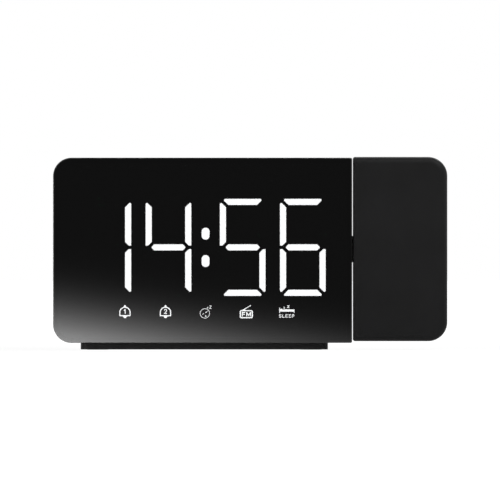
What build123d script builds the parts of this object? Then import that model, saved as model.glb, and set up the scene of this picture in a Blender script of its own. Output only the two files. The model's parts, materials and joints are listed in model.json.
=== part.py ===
from build123d import *
import math
import os

# Projection alarm clock. Millimetres. X runs to the right, Y to the back and Z up, and the
# display faces -Y. The origin is on the table, under the middle of the whole clock.

# Display body, seen from the front: round corners on the left, crisp ones beside the head.
body_width = 141.0
body_height = 87.3
body_depth = 36.0
body_corner = 8.7
meeting_corner = 0.8
under_body = 3.2

# Projector head, carried beside the body on a hollow hub that turns about X.
head_width = 44.4
head_height = 86.9
head_depth = 35.0
head_corner = 9.0
swivel_gap = 0.5
under_head = 4.0

# Walls, seams and clearances.
wall = 2.0
head_wall = 2.0
edge_round = 3.0
panel_overlap = 0.4
bearing_front_wall = 1.6
seam_chamfer = 0.25
board_gap = 7.45
slide_clearance = 0.2
close_clearance = 0.1
fit_clearance = 0.05
thread_clearance = 0.03
touching = 0.001
cut_margin = 1.0

# Front panel, display film, light guides and the boards behind them.
panel_thickness = 2.0
panel_edge_round = 0.2
film_gap = 0.1
film_thickness = 0.25
film_margin = 0.3
guide_depth = 1.7
reflector_depth = 7.6
reflector_margin = 2.2
pcb_thickness = 1.6
pcb_margin = 1.2
pcb_screw_margin = 3.9

# Digits: four of seven bars each, in two pairs with a colon between them.
digit_width = 21.5
digit_height = 45.72
bar_width = 2.86
bar_gap = 1.6
bar_middle_gap = 1.7
bar_tip_round = 0.57
digit_pitch = 28.35
pair_pitch = 35.0
digit_rise = 45.05
display_shift = 1.4
colon_width = 3.67
colon_height = 5.6
colon_spread = 6.45
reading = "1456"

# Row of symbols under the digits.
icon_count = 5
icon_pitch = 19.1
icon_drop = 7.5
icon_guide_width = 8.6
icon_guide_height = 6.6
icon_shift = 0.1

# Light-emitting diodes on the display board.
diode_length = 1.6
diode_width = 0.9
diode_height = 0.8

# Keys in the top: a wide snooze bar with three keys at each side of it.
key_row_back = 4.0
key_width = 7.6
key_depth = 7.0
key_proud = 0.3
key_round = 0.3
key_pitch = 9.8
key_row_inset = 16.7
snooze_gap = 2.4
key_travel = 0.5
flange_overhang = 0.8
flange_thickness = 1.0
stem_radius = 1.6
stem_length = 2.9
switch_size = 6.0
switch_height = 3.5
plunger_radius = 1.7
plunger_height = 0.9
switch_slack = 0.1
key_pcb_depth = 12.0
key_pcb_margin = 1.2
key_rib_width = 2.0
key_rib_height = 5.0
key_rib_overlap = 2.0
key_rib_spread = (20.0, 52.0)

# Main board and what it carries.
main_pcb_width = 74.0
main_pcb_inset = 14.5
key_board_gap = 4.4
board_clearance = 0.4
board_post_radius = 3.0
board_post_inset = 4.0
chip_length = 18.0
chip_width = 7.5
chip_height = 2.4
capacitor_radius = 3.15
capacitor_height = 6.2
capacitor_pitch = 7.6
crystal_radius = 1.0
crystal_length = 6.0
regulator_size = 6.5
regulator_height = 2.3
chip_spacing = 9.8
header_length = 20.0
header_width = 2.5
header_rise = 8.7
ribbon_width = 12.0
ribbon_thickness = 0.8
ribbon_overlap = 8.0
socket_length = 7.0
socket_height = 7.0
socket_wall = 1.0

# Loudspeaker behind its slots in the back.
speaker_radius = 18.0
speaker_rim = 2.0
speaker_rim_depth = 2.0
speaker_inset = 31.0
speaker_rise = 43.8
basket_depth = 5.0
magnet_radius = 9.0
magnet_depth = 4.5
cone_thickness = 0.6
cone_depth = 4.0
cone_hub_radius = 5.5
slot_pitch = 3.2
slot_height = 1.6
slot_field_margin = 3.0
speaker_wall_height = 3.0
speaker_wall_thickness = 1.4

# Backup coin cell behind a round cover that turns a quarter of the way to its notches.
cell_radius = 10.0
cell_thickness = 3.2
cell_step = 0.55
cell_shift = 2.5
cell_rise = 47.0
cup_wall = 1.6
cup_floor = 1.5
cover_rim = 0.8
cover_thickness = 1.6
cover_flush = 0.1
cover_plug_margin = 1.0
cover_tab_reach = 1.2
cover_tab_thickness = 0.9
cover_tab_angle = 30.0
cover_turn = 45.0
cover_notch_margin = 3.0
coin_slot_length = 14.0
coin_slot_width = 2.0
coin_slot_depth = 0.8
contact_thickness = 0.3
contact_width = 5.0
lip_thickness = 0.7

# Power inlet and aerial exit, low in the back.
jack_inset = 28.0
jack_rise = 14.5
jack_width = 9.0
jack_height = 11.0
jack_nose_radius = 4.0
jack_bore_radius = 2.75
jack_bore_depth = 9.5
jack_pin_radius = 1.05
jack_pin_short = 1.0
jack_flush = 0.4
grommet_inset = 10.0
grommet_rise = 22.0
grommet_radius = 3.0
grommet_bore = 1.0
grommet_lip = 1.0
grommet_lip_thickness = 0.8
grommet_recess = 0.1
label_width = 46.0
label_height = 14.0
label_depth = 0.3
label_shift = -1.5
label_rise = 17.0

# Pedestal and its pads.
pedestal_left_inset = 13.0
pedestal_right_inset = 11.4
pedestal_front_setback = 2.5
pedestal_back_setback = 1.5
pedestal_corner = 3.0
pad_radius = 5.0
pad_thickness = 1.4
pad_proud = 0.1
pad_inset_x = 8.0
pad_inset_y = 7.5

# Screws.
screw_radius = 1.3
screw_head_radius = 2.5
screw_head_height = 1.8
screw_bite = 6.0
small_screw_radius = 0.9
small_screw_head_radius = 1.7
small_screw_head_height = 1.2
cross_width = 0.7
cross_depth = 0.8
cross_margin = 0.8
screw_post_radius = 3.5
post_inset_x = 7.0
post_inset_z = 7.4
web_thickness = 2.0
rail_length = 16.0

# Swivel hub.
hub_radius = 6.3
hub_bore = 4.0
hub_boss = 1.5
hub_boss_radius = 10.0
hub_flange_radius = 10.0
hub_flange_thickness = 2.0
hub_pad = 1.5
hub_tail = 0.85
ring_thickness = 1.0
ring_groove_depth = 0.9
ring_reach = 8.0
ring_opening = 6.0
washer_thickness = 0.8
washer_radius = 8.8
hub_screw_circle = 8.0
hub_screw_count = 3
cable_radius = 1.6

# Projection unit in the head, its optical axis upright when the head is at rest.
barrel_radius = 11.0
barrel_gap = 1.55
barrel_bore = 8.0
barrel_top_bore = 9.0
barrel_top_length = 22.0
barrel_socket_length = 4.4
barrel_socket_wall = 1.8
shelf_thickness = 3.0
shelf_rise = 13.0
pocket_depth = 5.0
pocket_floor = 1.5
ring_pocket_clearance = 0.3
ring_pocket_rim = 0.6
focus_radius = 12.6
focus_bore = 9.0
focus_height = 4.2
focus_recess = 0.5
grip_count = 24
grip_width = 0.8
grip_depth = 0.6
cell_tube_radius = 8.8
cell_tube_bore = 7.0
cell_tube_length = 18.0
cell_tube_recess = 0.8
cell_lip = 1.0
cell_lip_thickness = 1.2
objective_radius = 6.9
objective_edge = 2.0
objective_bulge = 1.5
objective_top_bulge = 0.2
condenser_radius = 7.9
condenser_edge = 1.5
condenser_bulge = 3.0
condenser_low_bulge = 0.3
condenser_rise = 8.0
slide_rise = 18.0
slide_width = 11.0
slide_thickness = 1.6
slide_carrier_thickness = 1.0
slide_lap = 0.8
led_board_thickness = 1.2
led_size = 3.4
led_height = 1.4
projector_pcb_left = 6.0
projector_pcb_half_height = 17.0
projector_pcb_setback = 1.5
rib_thickness = 1.1
rib_depth = 3.0
lead_width = 3.0
lead_thickness = 0.8
head_post_radius = 3.0
head_post_inset_x = 6.2
head_post_inset_z = 8.0
head_seat_wall = 1.0

# Places worked out from the sizes above.
total_width = body_width + swivel_gap + head_width
body_left = -total_width / 2
body_right = body_left + body_width
head_left = body_right + swivel_gap
head_right = total_width / 2
body_bottom = under_body
body_top = body_bottom + body_height
body_mid_x = (body_left + body_right) / 2
front_y = -body_depth / 2
back_y = body_depth / 2
panel_back = front_y + panel_thickness
film_front = panel_back + film_gap
film_back = film_front + film_thickness
reflector_back = film_back + reflector_depth
display_pcb_back = reflector_back + pcb_thickness
seam_y = -(hub_radius + close_clearance + bearing_front_wall)
inner_back = back_y - wall
housing_left = body_left + panel_overlap
housing_right = body_right - panel_overlap
housing_bottom = body_bottom + panel_overlap
housing_top = body_top - panel_overlap
inner_left = housing_left + wall
inner_right = housing_right - wall
inner_bottom = housing_bottom + wall
inner_top = housing_top - wall
display_x = body_mid_x + display_shift
digit_z = body_bottom + digit_rise
icon_z = digit_z - digit_height / 2 - icon_drop
head_bottom = under_head
head_top = head_bottom + head_height
pivot_z = (head_bottom + head_top) / 2
head_front = -head_depth / 2
head_back = head_depth / 2
head_seam = focus_radius + ring_pocket_clearance + ring_pocket_rim
main_pcb_front = display_pcb_back + board_gap
main_pcb_back = main_pcb_front + pcb_thickness
main_pcb_right = body_right - main_pcb_inset
main_pcb_left = main_pcb_right - main_pcb_width
main_pcb_mid_x = (main_pcb_left + main_pcb_right) / 2
main_pcb_bottom = inner_bottom + screw_bite + board_clearance
stem_bottom = inner_top - slide_clearance - flange_thickness - stem_length
key_pcb_top = stem_bottom - key_travel - switch_slack - plunger_height - switch_height
key_pcb_bottom = key_pcb_top - pcb_thickness
main_pcb_top = key_pcb_bottom - key_board_gap
key_pcb_front = key_row_back - key_pcb_depth / 2
key_pcb_rear = key_row_back + key_pcb_depth / 2
key_offsets = [body_width / 2 - key_row_inset - i * key_pitch for i in (2, 1, 0)]
snooze_width = 2 * (key_offsets[0] - key_width / 2 - snooze_gap)
key_half_row = key_offsets[-1] + key_width / 2
speaker_x = body_left + speaker_inset
speaker_z = body_bottom + speaker_rise
cell_x = body_mid_x + cell_shift
cell_z = body_bottom + cell_rise
jack_x = body_right - jack_inset
jack_z = body_bottom + jack_rise
grommet_x = body_right - grommet_inset
grommet_z = body_bottom + grommet_rise
label_x = body_mid_x + label_shift
label_z = body_bottom + label_rise
post_xs = (body_left + post_inset_x, body_right - post_inset_x)
post_zs = (body_bottom + post_inset_z, body_top - post_inset_z)
head_post_xs = (head_left + head_post_inset_x, head_right - head_post_inset_x)
head_post_zs = (head_bottom + head_post_inset_z, head_top - head_post_inset_z)
screw_seat = inner_back - screw_head_height
head_screw_seat = head_back - head_wall
digit_xs = [
    display_x - pair_pitch / 2 - digit_pitch,
    display_x - pair_pitch / 2,
    display_x + pair_pitch / 2,
    display_x + pair_pitch / 2 + digit_pitch,
]
icon_xs = [display_x + icon_shift + (i - icon_count // 2) * icon_pitch for i in range(icon_count)]
lit_bars = {
    "0": "abcdef", "1": "bc", "2": "abdeg", "3": "abcdg", "4": "bcfg",
    "5": "acdfg", "6": "acdefg", "7": "abc", "8": "abcdefg", "9": "abcdfg",
}
cover_plug_radius = cell_radius + cover_plug_margin
cover_radius = cover_plug_radius + cover_tab_reach + cover_rim
cover_outer = back_y - cover_flush
cover_inner = cover_outer - cover_thickness
recess_floor = cover_inner - close_clearance
lip_inner = recess_floor - lip_thickness
groove_inner = lip_inner - cover_tab_thickness - slide_clearance - close_clearance
plug_inner = lip_inner - cover_tab_thickness - close_clearance
cell_back = plug_inner - close_clearance
cell_front = cell_back - cell_thickness
cup_inner = cell_front - 2 * contact_thickness - close_clearance
throat_radius = cover_plug_radius + slide_clearance
groove_radius = cover_plug_radius + cover_tab_reach + slide_clearance
pedestal_left = body_left + pedestal_left_inset
pedestal_right = body_right - pedestal_right_inset
pedestal_front = front_y + pedestal_front_setback
pedestal_back = back_y - pedestal_back_setback
washer_right = inner_right - hub_boss
washer_left = washer_right - washer_thickness
clip_right = washer_left - fit_clearance
clip_left = clip_right - ring_thickness
hub_left = clip_left - hub_tail
head_inner_left = head_left + head_wall
flange_left = head_inner_left + hub_pad
flange_right = flange_left + hub_flange_thickness
cable_joint_x = (body_right + head_left) / 2
projector_pcb_x = head_inner_left + projector_pcb_left + fit_clearance
head_socket_left = flange_right + close_clearance
optic_x = projector_pcb_x + pcb_thickness + barrel_gap + barrel_radius
pocket_bottom = head_top - pocket_depth
socket_top = pocket_bottom - pocket_floor
shelf_top = head_bottom + shelf_rise + shelf_thickness
barrel_bottom = shelf_top
slide_bottom = barrel_bottom + slide_rise
focus_top = head_top - focus_recess
focus_bottom = focus_top - focus_height
cell_tube_top = focus_top - cell_tube_recess
cell_tube_bottom = cell_tube_top - cell_tube_length


def span(x0, x1, y0, y1, z0, z1):
    """Block between two opposite corners."""
    return Pos((x0 + x1) / 2, (y0 + y1) / 2, (z0 + z1) / 2) * Box(x1 - x0, y1 - y0, z1 - z0)


def rod_x(x0, x1, y, z, radius):
    """Cylinder along X."""
    return Pos((x0 + x1) / 2, y, z) * Rot(0, 90, 0) * Cylinder(radius, x1 - x0)


def rod_y(x, z, y0, y1, radius):
    """Cylinder along Y."""
    return Pos(x, (y0 + y1) / 2, z) * Rot(90, 0, 0) * Cylinder(radius, y1 - y0)


def rod_z(x, y, z0, z1, radius):
    """Cylinder along Z."""
    return Pos(x, y, (z0 + z1) / 2) * Cylinder(radius, z1 - z0)


def slab(face, y0, y1):
    """A face drawn in X and Z, made solid from y0 back to y1."""
    return Pos(0, y1, 0) * Rot(90, 0, 0) * extrude(face, y1 - y0)


def outline(x0, x1, z0, z1, left_radius, right_radius):
    """Rectangle in X and Z with its own corner radius on each side."""
    face = Pos((x0 + x1) / 2, (z0 + z1) / 2) * Rectangle(x1 - x0, z1 - z0)
    if left_radius > 0:
        face = fillet(face.vertices().group_by(Axis.X)[0], left_radius)
    if right_radius > 0:
        face = fillet(face.vertices().group_by(Axis.X)[-1], right_radius)
    return face


def body_outline(inset):
    """The display body's front outline, drawn in by an inset."""
    return outline(
        body_left + inset, body_right - inset, body_bottom + inset, body_top - inset,
        body_corner - inset, max(meeting_corner - inset, 0),
    )


def screw_y(x, z, seat, tip, radius, head_radius, head_height):
    """Pan head screw driven towards -Y, with a cross in its head."""
    head = rod_y(x, z, seat, seat + head_height, head_radius)
    shank = rod_y(x, z, tip, seat, radius)
    top = seat + head_height
    arm = 2 * (head_radius - cross_margin)
    cross = span(x - arm / 2, x + arm / 2, top - cross_depth, top, z - cross_width / 2, z + cross_width / 2)
    cross += span(x - cross_width / 2, x + cross_width / 2, top - cross_depth, top, z - arm / 2, z + arm / 2)
    return head + shank - cross


def bar_face(points, tips):
    """One display bar from its corner points; the corners in tips are rounded off."""
    face = make_face(Polyline(*points, close=True))
    corners = [v for v in face.vertices() if min(math.dist((v.X, v.Y), tip) for tip in tips) < touching]
    return fillet(corners, bar_tip_round)


def flipped(points, side_x, side_z):
    """Corner points mirrored left to right or top to bottom, in an order that keeps the face's side."""
    moved = [(side_x * x, side_z * z) for x, z in points]
    return moved if side_x * side_z > 0 else moved[::-1]


def digit_bars(x):
    """The seven bars of a digit centred at x, by their usual letters a to g."""
    w, h, t = digit_width / 2, digit_height / 2, bar_width
    mitre, middle = bar_gap / math.sqrt(2), bar_middle_gap / 2
    long_end, short_end, point_end = w - mitre, w - t - mitre, w - t / 2 - mitre
    top = [(-long_end, h), (long_end, h), (short_end, h - t), (-short_end, h - t)]
    side = [(w - t, t / 2 + mitre), (w - t / 2 + mitre - middle, middle), (w, middle),
            (w, h - mitre), (w - t, h - t - mitre)]
    centre = [(-point_end, 0), (-short_end, t / 2), (short_end, t / 2),
              (point_end, 0), (short_end, -t / 2), (-short_end, -t / 2)]
    forms = {
        "a": (top, top[:2], 1, 1), "b": (side, side[3:4], 1, 1), "c": (side, side[3:4], 1, -1),
        "d": (top, top[:2], 1, -1), "e": (side, side[3:4], -1, -1), "f": (side, side[3:4], -1, 1),
        "g": (centre, [centre[0], centre[3]], 1, 1),
    }
    return {
        name: Pos(x, digit_z) * bar_face(flipped(points, side_x, side_z), flipped(tips, side_x, side_z))
        for name, (points, tips, side_x, side_z) in forms.items()
    }


def colon_faces():
    """The two upright ovals of the colon."""
    dot = RectangleRounded(colon_width, colon_height, colon_width / 2 - fit_clearance)
    return [Pos(display_x, digit_z + side * colon_spread) * dot for side in (1, -1)]


def lit_faces():
    """Faces of the bars that shine for the reading, with the colon."""
    faces = colon_faces()
    for figure, x in zip(reading, digit_xs):
        bars = digit_bars(x)
        faces += [bars[name] for name in lit_bars[figure]]
    return faces


def unlit_faces():
    """Faces of the bars that stay dark for the reading."""
    faces = []
    for figure, x in zip(reading, digit_xs):
        bars = digit_bars(x)
        faces += [face for name, face in bars.items() if name not in lit_bars[figure]]
    return faces


def icon_faces():
    """Light guide faces of the symbol row."""
    return [Pos(x, icon_z) * Rectangle(icon_guide_width, icon_guide_height) for x in icon_xs]


def grown(faces, amount):
    """Copies of the faces, each grown outwards."""
    return [offset(face, amount) for face in faces]


def front_panel():
    """Smoked plate over the whole front of the body."""
    plate = slab(body_outline(0), front_y, panel_back)
    rim = plate.faces().sort_by(Axis.Y)[0].edges()
    return fillet(rim, panel_edge_round)


def display_film():
    """Black film behind the panel, with a window for each bar."""
    sheet = slab(body_outline(panel_overlap + wall + film_margin), film_front, film_back)
    windows = grown(lit_faces() + unlit_faces(), fit_clearance)
    return sheet - [slab(face, film_front, film_back) for face in windows]


def reflector_box():
    """Corners in X and Z of the block that surrounds the digits and the symbols."""
    x0 = digit_xs[0] - digit_width / 2 - reflector_margin
    x1 = digit_xs[-1] + digit_width / 2 + reflector_margin
    z0 = icon_z - icon_guide_height / 2 - pcb_margin
    z1 = digit_z + digit_height / 2 + reflector_margin
    return x0, x1, z0, z1


def digit_reflector():
    """Block of light wells, one for each bar and symbol."""
    x0, x1, z0, z1 = reflector_box()
    block = span(x0, x1, film_back, reflector_back, z0, z1)
    wells = grown(lit_faces() + unlit_faces() + icon_faces(), fit_clearance)
    return block - [slab(face, film_back, reflector_back) for face in wells]


def guides(faces, front):
    """Milky light guides, one for each face."""
    return Part() + [slab(face, front, film_front + guide_depth) for face in faces]


def display_diodes():
    """Diodes on the display board: two behind each bar, one behind each dot and symbol."""
    spots = [(x, icon_z) for x in icon_xs]
    spots += [(display_x, digit_z + side * colon_spread) for side in (1, -1)]
    for x in digit_xs:
        for face in digit_bars(x).values():
            box = face.bounding_box()
            middle = box.center()
            if box.size.X > box.size.Y:
                spots += [(middle.X + side * box.size.X / 4, middle.Y) for side in (1, -1)]
            else:
                spots += [(middle.X, middle.Y + side * box.size.Y / 4) for side in (1, -1)]
    half_x, half_z = diode_width / 2, diode_length / 2
    return Part() + [
        span(x - half_x, x + half_x, reflector_back - diode_height, reflector_back, z - half_z, z + half_z)
        for x, z in spots
    ]


def display_pcb():
    """Board that carries the diodes, cut clear of the corner posts and drilled for its screws."""
    x0, x1, z0, z1 = reflector_box()
    board = span(x0, x1, reflector_back, display_pcb_back, z0 - pcb_screw_margin, z1 + pcb_screw_margin)
    board -= [
        rod_y(x, z, reflector_back, display_pcb_back, screw_post_radius + board_clearance)
        for x in post_xs for z in post_zs
    ]
    return board - [
        rod_y(x, z, reflector_back, display_pcb_back, small_screw_radius + close_clearance)
        for x, z in display_screw_places()
    ]


def display_screw_places():
    """Where the display board is screwed to the rails."""
    x0, x1, z0, z1 = reflector_box()
    inset = pcb_screw_margin / 2
    return [(x, z) for x in (digit_xs[0], digit_xs[-1]) for z in (z0 - inset, z1 + inset)]


def display_screws():
    """Four small screws through the display board."""
    return Part() + [
        screw_y(x, z, display_pcb_back, reflector_back - screw_bite / 2, small_screw_radius,
                small_screw_head_radius, small_screw_head_height)
        for x, z in display_screw_places()
    ]


def post_webs(x, z, y0, y1):
    """Two webs that tie a corner post to the nearest walls."""
    wall_x = inner_left if x < body_mid_x else inner_right
    wall_z = inner_bottom if z < pivot_z else inner_top
    step_x = -wall / 2 if x < body_mid_x else wall / 2
    step_z = -wall / 2 if z < pivot_z else wall / 2
    xs, zs = sorted((x, wall_x + step_x)), sorted((z, wall_z + step_z))
    half = web_thickness / 2
    return span(xs[0], xs[1], y0, y1, z - half, z + half) + span(x - half, x + half, y0, y1, zs[0], zs[1])


def front_housing():
    """Frame behind the panel, with corner posts and the rails that carry the display board."""
    frame = slab(body_outline(panel_overlap), panel_back, seam_y)
    frame = chamfer(frame.faces().sort_by(Axis.Y)[-1].edges(), seam_chamfer)
    frame -= slab(body_outline(panel_overlap + wall), panel_back, seam_y)
    for x in post_xs:
        for z in post_zs:
            frame += rod_y(x, z, film_back, seam_y, screw_post_radius)
            frame += post_webs(x, z, film_back, seam_y)
    x0, x1, z0, z1 = reflector_box()
    for x in (digit_xs[0], digit_xs[-1]):
        left, right = x - rail_length / 2, x + rail_length / 2
        frame += span(left, right, film_back, reflector_back, inner_bottom - wall / 2, z0 - slide_clearance)
        frame += span(left, right, film_back, reflector_back, z1 + slide_clearance, inner_top + wall / 2)
    for x, z in display_screw_places():
        frame -= rod_y(x, z, reflector_back - screw_bite / 2 - fit_clearance, reflector_back,
                       small_screw_radius + thread_clearance)
    for x in post_xs:
        for z in post_zs:
            frame -= rod_y(x, z, seam_y - screw_bite - fit_clearance, seam_y, screw_radius + thread_clearance)
    return frame


def speaker_slots():
    """Rounded slots over the loudspeaker."""
    slot_field_radius = speaker_radius - slot_field_margin
    rows = int(slot_field_radius // slot_pitch)
    slots = []
    for row in range(-rows, rows + 1):
        z = row * slot_pitch
        length = 2 * math.sqrt(slot_field_radius**2 - z**2)
        if length > 2 * slot_height:
            slots.append(Pos(speaker_x, speaker_z + z) * SlotOverall(length, slot_height))
    return [slab(face, inner_back, back_y) for face in slots]


def sector(radius, start, angle):
    """Pie slice face about the coin cell's axis, from a start angle."""
    reach = radius * 2
    a0, a1 = math.radians(start), math.radians(start + angle)
    slice_face = make_face(Polyline(
        (0, 0), (reach * math.cos(a0), reach * math.sin(a0)), (reach * math.cos(a1), reach * math.sin(a1)),
        close=True,
    ))
    return Pos(cell_x, cell_z) * (slice_face & Circle(radius))


def contact_blade(clearance):
    """Tab beside the cell's rim, or its pocket when it is given a clearance."""
    half, low = contact_width / 2 + clearance, cell_z + cell_radius + fit_clearance
    return span(cell_x - half, cell_x + half, cup_inner, cell_back - close_clearance,
                low, low + contact_thickness + clearance)


def battery_cup(housing):
    """Adds the round cell holder to the housing, then opens its bore, groove and notches."""
    housing += rod_y(cell_x, cell_z, cup_inner - cup_floor, inner_back, groove_radius + cup_wall)
    housing -= rod_y(cell_x, cell_z, recess_floor, back_y, cover_radius + slide_clearance)
    housing -= rod_y(cell_x, cell_z, cell_back - fit_clearance, recess_floor, throat_radius)
    housing -= rod_y(cell_x, cell_z, cup_inner, cell_back, cell_radius + slide_clearance)
    housing -= rod_y(cell_x, cell_z, groove_inner, lip_inner, groove_radius)
    housing -= contact_blade(fit_clearance)
    for side in (0, 180):
        start = side + cover_turn - cover_tab_angle / 2 - cover_notch_margin
        notch = sector(groove_radius, start, cover_tab_angle + 2 * cover_notch_margin)
        housing -= slab(notch, lip_inner, recess_floor)
    return housing


def battery_cover():
    """Round cover with a coin slot, a plug and two locking tabs."""
    cover = rod_y(cell_x, cell_z, cover_inner, cover_outer, cover_radius)
    cover = fillet(cover.faces().sort_by(Axis.Y)[-1].edges(), key_round)
    cover += rod_y(cell_x, cell_z, plug_inner, cover_inner, cover_plug_radius)
    tab_front = lip_inner - close_clearance - cover_tab_thickness
    for side in (0, 180):
        tab = sector(cover_plug_radius + cover_tab_reach, side - cover_tab_angle / 2, cover_tab_angle)
        cover += slab(tab, tab_front, lip_inner - close_clearance)
    slot = Pos(cell_x, cell_z) * SlotOverall(coin_slot_length, coin_slot_width)
    return cover - slab(slot, cover_outer - coin_slot_depth, cover_outer)


def key_places():
    """Name, centre and width of each key in the top, from left to right."""
    left = ["key_alarm_one", "key_alarm_two", "key_set"]
    right = ["key_minus", "key_plus", "key_projector"]
    places = [(name, body_mid_x - off, key_width) for name, off in zip(left, reversed(key_offsets))]
    places.append(("snooze_bar", body_mid_x, snooze_width))
    places += [(name, body_mid_x + off, key_width) for name, off in zip(right, key_offsets)]
    return places


def key_slot(x, width):
    """Hole in the top wall that a key slides in."""
    half_x, half_y = width / 2 + slide_clearance, key_depth / 2 + slide_clearance
    return span(x - half_x, x + half_x, key_row_back - half_y, key_row_back + half_y, inner_top, housing_top)


def rear_shell():
    """Closed back of the body before anything is added or cut."""
    outer = slab(body_outline(panel_overlap), seam_y, back_y)
    rim = outer.faces().sort_by(Axis.Y)[-1].edges()
    outer = fillet([edge for edge in rim if edge.center().X < housing_right - meeting_corner], edge_round)
    outer = chamfer(outer.faces().sort_by(Axis.Y)[0].edges(), seam_chamfer)
    return outer - slab(body_outline(panel_overlap + wall), seam_y, inner_back)


def main_post_places():
    """Where the main board is screwed to its posts."""
    return [
        (x, z)
        for x in (main_pcb_left + board_post_inset, main_pcb_right - board_post_inset)
        for z in (main_pcb_bottom + board_post_inset, main_pcb_top - board_post_inset)
    ]


def pedestal_screw_places():
    """X places of the two screws that hold the pedestal."""
    quarter = (pedestal_right - pedestal_left) / 4
    return [pedestal_left + quarter, pedestal_right - quarter]


def rear_housing():
    """Back shell with key slots, hub bearing, posts, cell holder, loudspeaker slots and inlets."""
    shell = rear_shell()
    for x in post_xs:
        for z in post_zs:
            shell += rod_y(x, z, seam_y, inner_back + wall / 2, screw_post_radius)
    boss = rod_x(inner_right - hub_boss, inner_right + wall / 2, 0, pivot_z, hub_boss_radius)
    room = span(inner_left, housing_right, seam_y, back_y, inner_bottom, inner_top)
    shell += boss & room
    for x, z in main_post_places():
        shell += rod_y(x, z, main_pcb_back, inner_back + wall / 2, board_post_radius)
    for x in key_rib_places():
        half = key_rib_width / 2
        shell += span(x - half, x + half, key_pcb_rear - key_rib_overlap, inner_back + wall / 2,
                      key_pcb_bottom - key_rib_height, key_pcb_bottom)
    speaker_wall = rod_y(speaker_x, speaker_z, inner_back - speaker_wall_height, inner_back + wall / 2,
                         speaker_radius + fit_clearance + speaker_wall_thickness)
    speaker_wall -= rod_y(speaker_x, speaker_z, inner_back - speaker_wall_height, inner_back,
                          speaker_radius + fit_clearance)
    shell += speaker_wall
    for x in pedestal_screw_places():
        shell += rod_z(x, 0, inner_bottom - wall / 2, inner_bottom + screw_bite, screw_post_radius)
    shell = battery_cup(shell)
    shell -= speaker_slots()
    shell -= [key_slot(x, width) for name, x, width in key_places()]
    shell -= rod_x(inner_right - hub_boss, housing_right, 0, pivot_z, hub_radius + close_clearance)
    shell -= rod_y(jack_x, jack_z, inner_back, back_y, jack_nose_radius + close_clearance)
    shell -= rod_y(grommet_x, grommet_z, inner_back, back_y, grommet_radius)
    shell -= span(label_x - label_width / 2, label_x + label_width / 2, back_y - label_depth, back_y,
                  label_z - label_height / 2, label_z + label_height / 2)
    for x in post_xs:
        for z in post_zs:
            shell -= rod_y(x, z, seam_y, back_y, screw_radius + close_clearance)
            shell -= rod_y(x, z, screw_seat, back_y, screw_head_radius + slide_clearance)
    for x, z in main_post_places():
        shell -= rod_y(x, z, main_pcb_back, main_pcb_back + screw_bite + fit_clearance,
                       small_screw_radius + thread_clearance)
    for x in pedestal_screw_places():
        shell -= rod_z(x, 0, housing_bottom, inner_bottom + screw_bite - wall / 2,
                       screw_radius + thread_clearance)
    return shell


def housing_screws():
    """Four long screws that close the body from behind."""
    return Part() + [
        screw_y(x, z, screw_seat, seam_y - screw_bite, screw_radius, screw_head_radius, screw_head_height)
        for x in post_xs for z in post_zs
    ]


def key(x, width):
    """Key cap with a retaining flange and a stem over its switch."""
    half_x, half_y = width / 2, key_depth / 2
    cap = span(x - half_x, x + half_x, key_row_back - half_y, key_row_back + half_y,
               inner_top - slide_clearance, housing_top + key_proud)
    cap = fillet(cap.faces().sort_by(Axis.Z)[-1].edges(), key_round)
    flange_top = inner_top - slide_clearance
    cap += span(x - half_x - flange_overhang, x + half_x + flange_overhang,
                key_row_back - half_y - flange_overhang, key_row_back + half_y + flange_overhang,
                flange_top - flange_thickness, flange_top)
    return cap + rod_z(x, key_row_back, stem_bottom, flange_top - flange_thickness, stem_radius)


def key_rib_places():
    """X places of the ribs under the key board."""
    return [body_mid_x + side * spread for side in (-1, 1) for spread in key_rib_spread]


def key_pcb():
    """Board under the keys."""
    half = key_half_row + key_pcb_margin
    return span(body_mid_x - half, body_mid_x + half, key_pcb_front, key_pcb_rear,
                key_pcb_bottom, key_pcb_top)


def key_switches():
    """A push switch under each key."""
    switches = []
    half = switch_size / 2
    for name, x, width in key_places():
        body = span(x - half, x + half, key_row_back - half, key_row_back + half,
                    key_pcb_top, key_pcb_top + switch_height)
        base = key_pcb_top + switch_height
        switches.append(body + rod_z(x, key_row_back, base, base + plunger_height, plunger_radius))
    return Part() + switches


def main_pcb():
    """Main board, drilled for its screws."""
    board = span(main_pcb_left, main_pcb_right, main_pcb_front, main_pcb_back, main_pcb_bottom, main_pcb_top)
    return board - [
        rod_y(x, z, main_pcb_front, main_pcb_back, small_screw_radius + close_clearance)
        for x, z in main_post_places()
    ]


def board_screws():
    """Four small screws that hold the main board, driven towards the back."""
    screws = []
    for x, z in main_post_places():
        head = rod_y(x, z, main_pcb_front - small_screw_head_height, main_pcb_front, small_screw_head_radius)
        screws.append(head + rod_y(x, z, main_pcb_front, main_pcb_back + screw_bite, small_screw_radius))
    return Part() + screws


def main_pcb_parts():
    """Clock chip, tuner chip, regulator, capacitors, crystal and the head's cable socket."""
    front = main_pcb_front
    chip = Pos(main_pcb_mid_x, 0, pivot_z) * span(
        -chip_length / 2, chip_length / 2, front - chip_height, front, -chip_width / 2, chip_width / 2)
    half = regulator_size / 2
    square_chip = span(-half, half, front - regulator_height, front, -half, half)
    tuner = Pos(main_pcb_mid_x, 0, pivot_z - chip_spacing) * square_chip
    regulator = Pos(jack_x, 0, jack_z + jack_height) * square_chip
    capacitors = [
        rod_y(x, jack_z + 2 * jack_height, front - capacitor_height, front, capacitor_radius)
        for x in (jack_x - capacitor_pitch, jack_x)
    ]
    crystal = rod_x(main_pcb_mid_x - crystal_length / 2, main_pcb_mid_x + crystal_length / 2,
                    front - crystal_radius, pivot_z + chip_width, crystal_radius)
    socket = span(main_pcb_right - socket_length, main_pcb_right, -cable_radius - socket_wall, front,
                  pivot_z - socket_height / 2, pivot_z + socket_height / 2)
    return Part() + [chip, tuner, regulator, crystal, socket] + capacitors


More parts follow.
